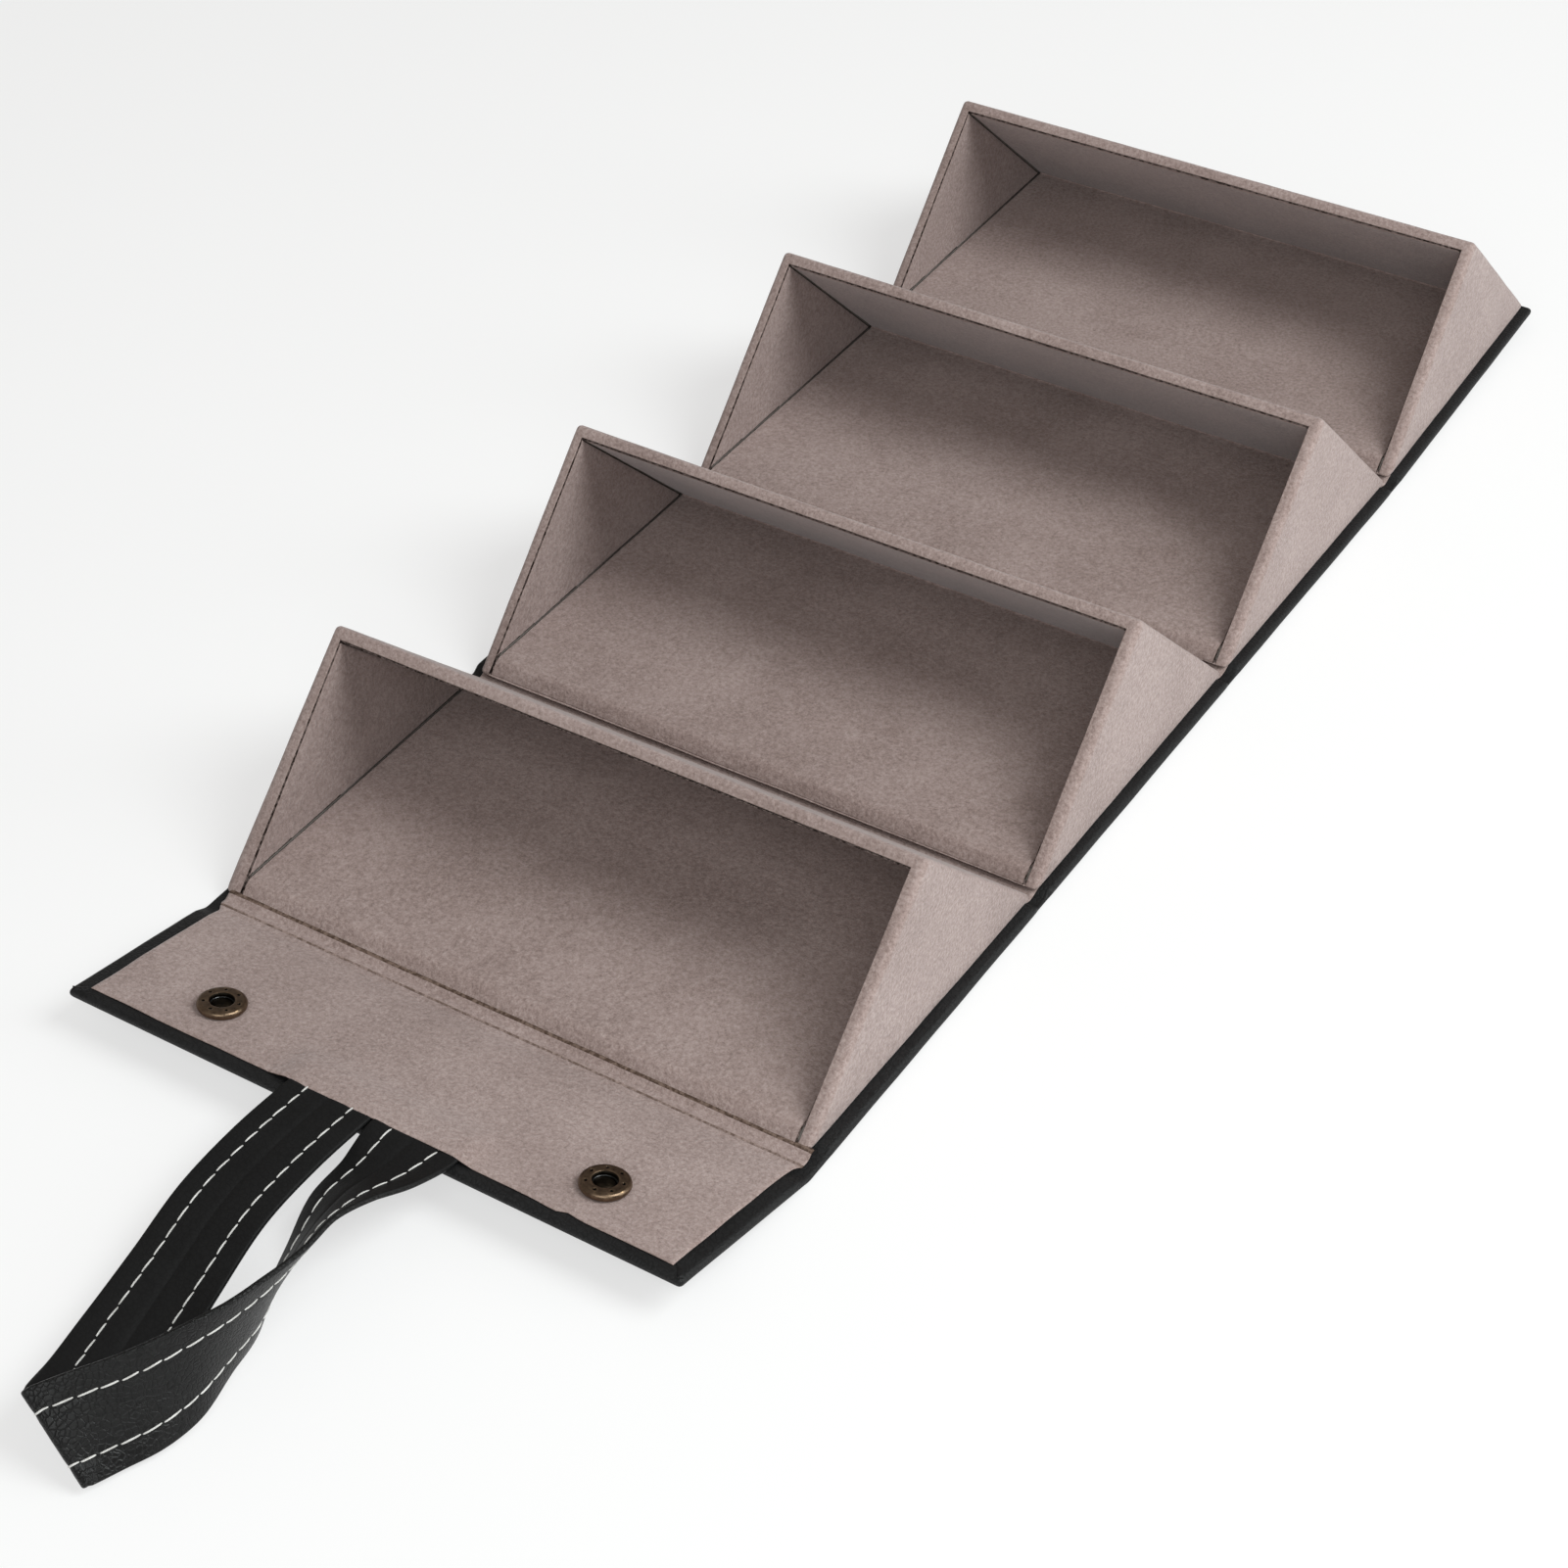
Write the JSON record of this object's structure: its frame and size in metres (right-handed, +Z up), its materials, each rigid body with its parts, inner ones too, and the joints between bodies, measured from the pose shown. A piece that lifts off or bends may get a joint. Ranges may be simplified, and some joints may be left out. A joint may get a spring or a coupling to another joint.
{
  "type": "sunglasses storage case",
  "caption": "Roll-up case lying open: triangular suede trays for glasses on a folding leatherette cover, with a snap flap and a stitched handle strap.",
  "frame": {"origin": "middle of the first panel's underside, on the table", "axes": "+X across the trays, +Y from the flap to the far tray, +Z up"},
  "size_m": [0.1782, 0.5747, 0.055],
  "materials": {
    "suede": "taupe brushed suede",
    "leatherette": "black grained",
    "board": "grey board",
    "antique_brass": "antique, dark",
    "spring_steel": "plain wire"
  },
  "bodies": {
    "tray_1": {"tray_1_floor_board": "board", "tray_1_back_board": "board", "tray_1_left_board": "board", "tray_1_right_board": "board", "panel_1_board": "board", "tray_1_wrap": "suede", "tray_1_floor_back_lining": "suede", "tray_1_left_lining": "suede", "tray_1_right_lining": "suede", "panel_1_lining": "suede", "panel_1_cover": "leatherette"},
    "tray_2": {"tray_2_floor_board": "board", "tray_2_back_board": "board", "tray_2_left_board": "board", "tray_2_right_board": "board", "panel_2_board": "board", "tray_2_wrap": "suede", "tray_2_floor_back_lining": "suede", "tray_2_left_lining": "suede", "tray_2_right_lining": "suede", "panel_2_lining": "suede", "panel_2_cover": "leatherette"},
    "tray_3": {"tray_3_floor_board": "board", "tray_3_back_board": "board", "tray_3_left_board": "board", "tray_3_right_board": "board", "panel_3_board": "board", "tray_3_wrap": "suede", "tray_3_floor_back_lining": "suede", "tray_3_left_lining": "suede", "tray_3_right_lining": "suede", "panel_3_lining": "suede", "panel_3_cover": "leatherette"},
    "tray_4": {"tray_4_floor_board": "board", "tray_4_back_board": "board", "tray_4_left_board": "board", "tray_4_right_board": "board", "panel_4_board": "board", "tray_4_wrap": "suede", "tray_4_floor_back_lining": "suede", "tray_4_left_lining": "suede", "tray_4_right_lining": "suede", "panel_4_lining": "suede", "panel_4_cover": "leatherette", "left_stud": "antique_brass", "left_post": "spring_steel", "right_stud": "antique_brass", "right_post": "spring_steel"},
    "flap": {"flap_cover": "leatherette", "flap_board": "board", "flap_lining": "suede", "handle_left_end": "leatherette", "handle_right_end": "leatherette", "left_socket": "antique_brass", "left_cap": "antique_brass", "left_spring": "spring_steel", "right_socket": "antique_brass", "right_cap": "antique_brass", "right_spring": "spring_steel"},
    "handle": {"handle_strap": "leatherette"}
  },
  "joints": [
    {"name": "tray_fold_1", "type": "hinge", "parent": "tray_1", "child": "tray_2", "pos_m": [0, 0.0523, 0.0021], "axis": [1, 0, 0], "range_deg": [0, 90]},
    {"name": "tray_fold_2", "type": "hinge", "parent": "tray_2", "child": "tray_3", "pos_m": [0, 0.1569, 0.0021], "axis": [1, 0, 0], "range_deg": [0, 90]},
    {"name": "tray_fold_3", "type": "hinge", "parent": "tray_3", "child": "tray_4", "pos_m": [0, 0.2615, 0.0021], "axis": [1, 0, 0], "range_deg": [0, 88.12]},
    {"name": "flap_fold", "type": "hinge", "parent": "tray_1", "child": "flap", "pos_m": [0, -0.0567, 0.0017], "axis": [-1, 0, 0], "range_deg": [0, 74]},
    {"name": "handle_swing", "type": "hinge", "parent": "flap", "child": "handle", "pos_m": [0, -0.10487, 0.01175], "axis": [1, 0, 0], "range_deg": [-120, 0]}
  ]
}
